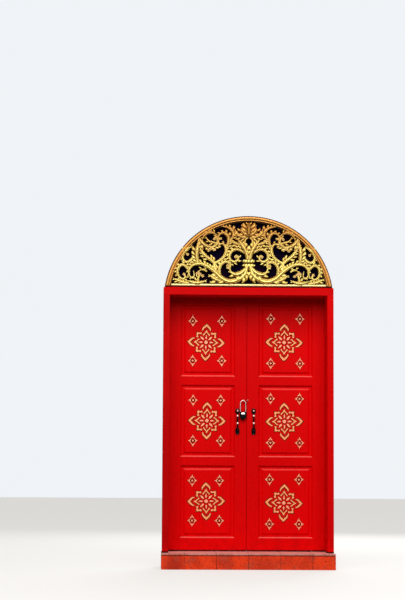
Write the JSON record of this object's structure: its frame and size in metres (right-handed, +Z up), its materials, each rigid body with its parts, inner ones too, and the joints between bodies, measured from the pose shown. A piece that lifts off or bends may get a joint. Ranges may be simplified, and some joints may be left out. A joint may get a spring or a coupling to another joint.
{
  "type": "carved wooden double doors",
  "caption": "Red lacquered double doors with raised panels and gilded ornaments, in a timber frame under a carved gilded lunette, on a tiled step.",
  "frame": {"origin": "middle of the underside of the tiled step, on the ground", "axes": "+Z up, +X to the right of someone facing the doors from outside, -Y out of the front"},
  "size_m": [1.36, 0.43, 2.788],
  "materials": {
    "red_lacquer": "red lacquer paint over timber, soft gloss",
    "panel_lacquer": "red lacquer paint over timber, soft gloss",
    "dark_lacquer": "dark red paint over timber",
    "arch_gold": "gilded wood",
    "pale_gold": "gilded wood, pale",
    "carved_gold": "gilded carved wood",
    "ornament_gold": "thin gilded ornament, peach gold",
    "navy_paint": "dark blue paint over timber",
    "hinge_iron": "dark iron",
    "handle_iron": "black iron, worn bright on the knobs",
    "bolt_iron": "dark iron",
    "eye_steel": "dull plated steel",
    "screw_steel": "dull plated steel",
    "shackle_steel": "bright plated steel, weathered",
    "padlock_case": "dark enamel, worn",
    "plug_brass": "brass",
    "step_mortar": "mortar and rubble core",
    "tread_clay": "unglazed red clay tile",
    "riser_clay": "unglazed orange-red clay tile"
  },
  "bodies": {
    "doorway": {"step_core": "step_mortar", "tread_tiles": "tread_clay", "riser_tiles": "riser_clay", "left_jamb": "red_lacquer", "right_jamb": "red_lacquer", "frame_head": "red_lacquer", "lunette_sill": "dark_lacquer", "lunette_arch": "dark_lacquer", "arch_moulding": "arch_gold", "bottom_bead": "pale_gold", "carved_screen": "carved_gold", "backing_board": "navy_paint", "left_frame_flap_1": "hinge_iron", "left_frame_flap_2": "hinge_iron", "left_frame_flap_3": "hinge_iron", "right_frame_flap_1": "hinge_iron", "right_frame_flap_2": "hinge_iron", "right_frame_flap_3": "hinge_iron", "hinge_pins": "hinge_iron", "frame_screws": "screw_steel", "bolt_keeper": "bolt_iron"},
    "left_leaf": {"left_meeting_stile": "red_lacquer", "left_hinge_stile": "red_lacquer", "left_bottom_rail": "red_lacquer", "left_lower_rail": "red_lacquer", "left_upper_rail": "red_lacquer", "left_top_rail": "red_lacquer", "left_bottom_panel": "panel_lacquer", "left_middle_panel": "panel_lacquer", "left_top_panel": "panel_lacquer", "left_ornaments": "ornament_gold", "left_leaf_flap_1": "hinge_iron", "left_leaf_flap_2": "hinge_iron", "left_leaf_flap_3": "hinge_iron", "left_leaf_screws": "screw_steel", "left_handle": "handle_iron", "left_eye": "eye_steel", "top_bolt_plate": "bolt_iron", "bottom_bolt_plate": "bolt_iron"},
    "right_leaf": {"right_meeting_stile": "red_lacquer", "right_hinge_stile": "red_lacquer", "right_bottom_rail": "red_lacquer", "right_lower_rail": "red_lacquer", "right_upper_rail": "red_lacquer", "right_top_rail": "red_lacquer", "right_bottom_panel": "panel_lacquer", "right_middle_panel": "panel_lacquer", "right_top_panel": "panel_lacquer", "right_ornaments": "ornament_gold", "right_leaf_flap_1": "hinge_iron", "right_leaf_flap_2": "hinge_iron", "right_leaf_flap_3": "hinge_iron", "right_leaf_screws": "screw_steel", "right_handle": "handle_iron", "right_eye": "eye_steel"},
    "shackle": {"padlock_shackle": "shackle_steel"},
    "padlock": {"padlock_body": "padlock_case"},
    "key_plug": {"padlock_plug": "plug_brass"},
    "top_bolt": {"top_bolt_rod": "bolt_iron"},
    "bottom_bolt": {"bottom_bolt_rod": "bolt_iron"}
  },
  "joints": [
    {"name": "left_leaf_hinge", "type": "hinge", "parent": "doorway", "child": "left_leaf", "pos_m": [-0.636, 0.192, 1.15], "axis": [0, 0, 1], "range_deg": [0, 100]},
    {"name": "right_leaf_hinge", "type": "hinge", "parent": "doorway", "child": "right_leaf", "pos_m": [0.636, 0.192, 1.15], "axis": [0, 0, -1], "range_deg": [0, 100]},
    {"name": "shackle_swing", "type": "hinge", "parent": "left_leaf", "child": "shackle", "pos_m": [-0.024, 0.127, 1.3256], "axis": [-1, 0, 0], "range_deg": [0, 80]},
    {"name": "padlock_release", "type": "slide", "parent": "shackle", "child": "padlock", "axis": [0, 0, -1], "range_m": [0, 0.014]},
    {"name": "key_turn", "type": "hinge", "parent": "padlock", "child": "key_plug", "pos_m": [-0.03, 0.127, 1.18], "axis": [0, 0, 1], "range_deg": [0, 90]},
    {"name": "top_bolt_slide", "type": "slide", "parent": "left_leaf", "child": "top_bolt", "axis": [0, 0, 1], "range_m": [0, 0.028]},
    {"name": "bottom_bolt_slide", "type": "slide", "parent": "left_leaf", "child": "bottom_bolt", "axis": [0, 0, -1], "range_m": [0, 0.019]}
  ]
}
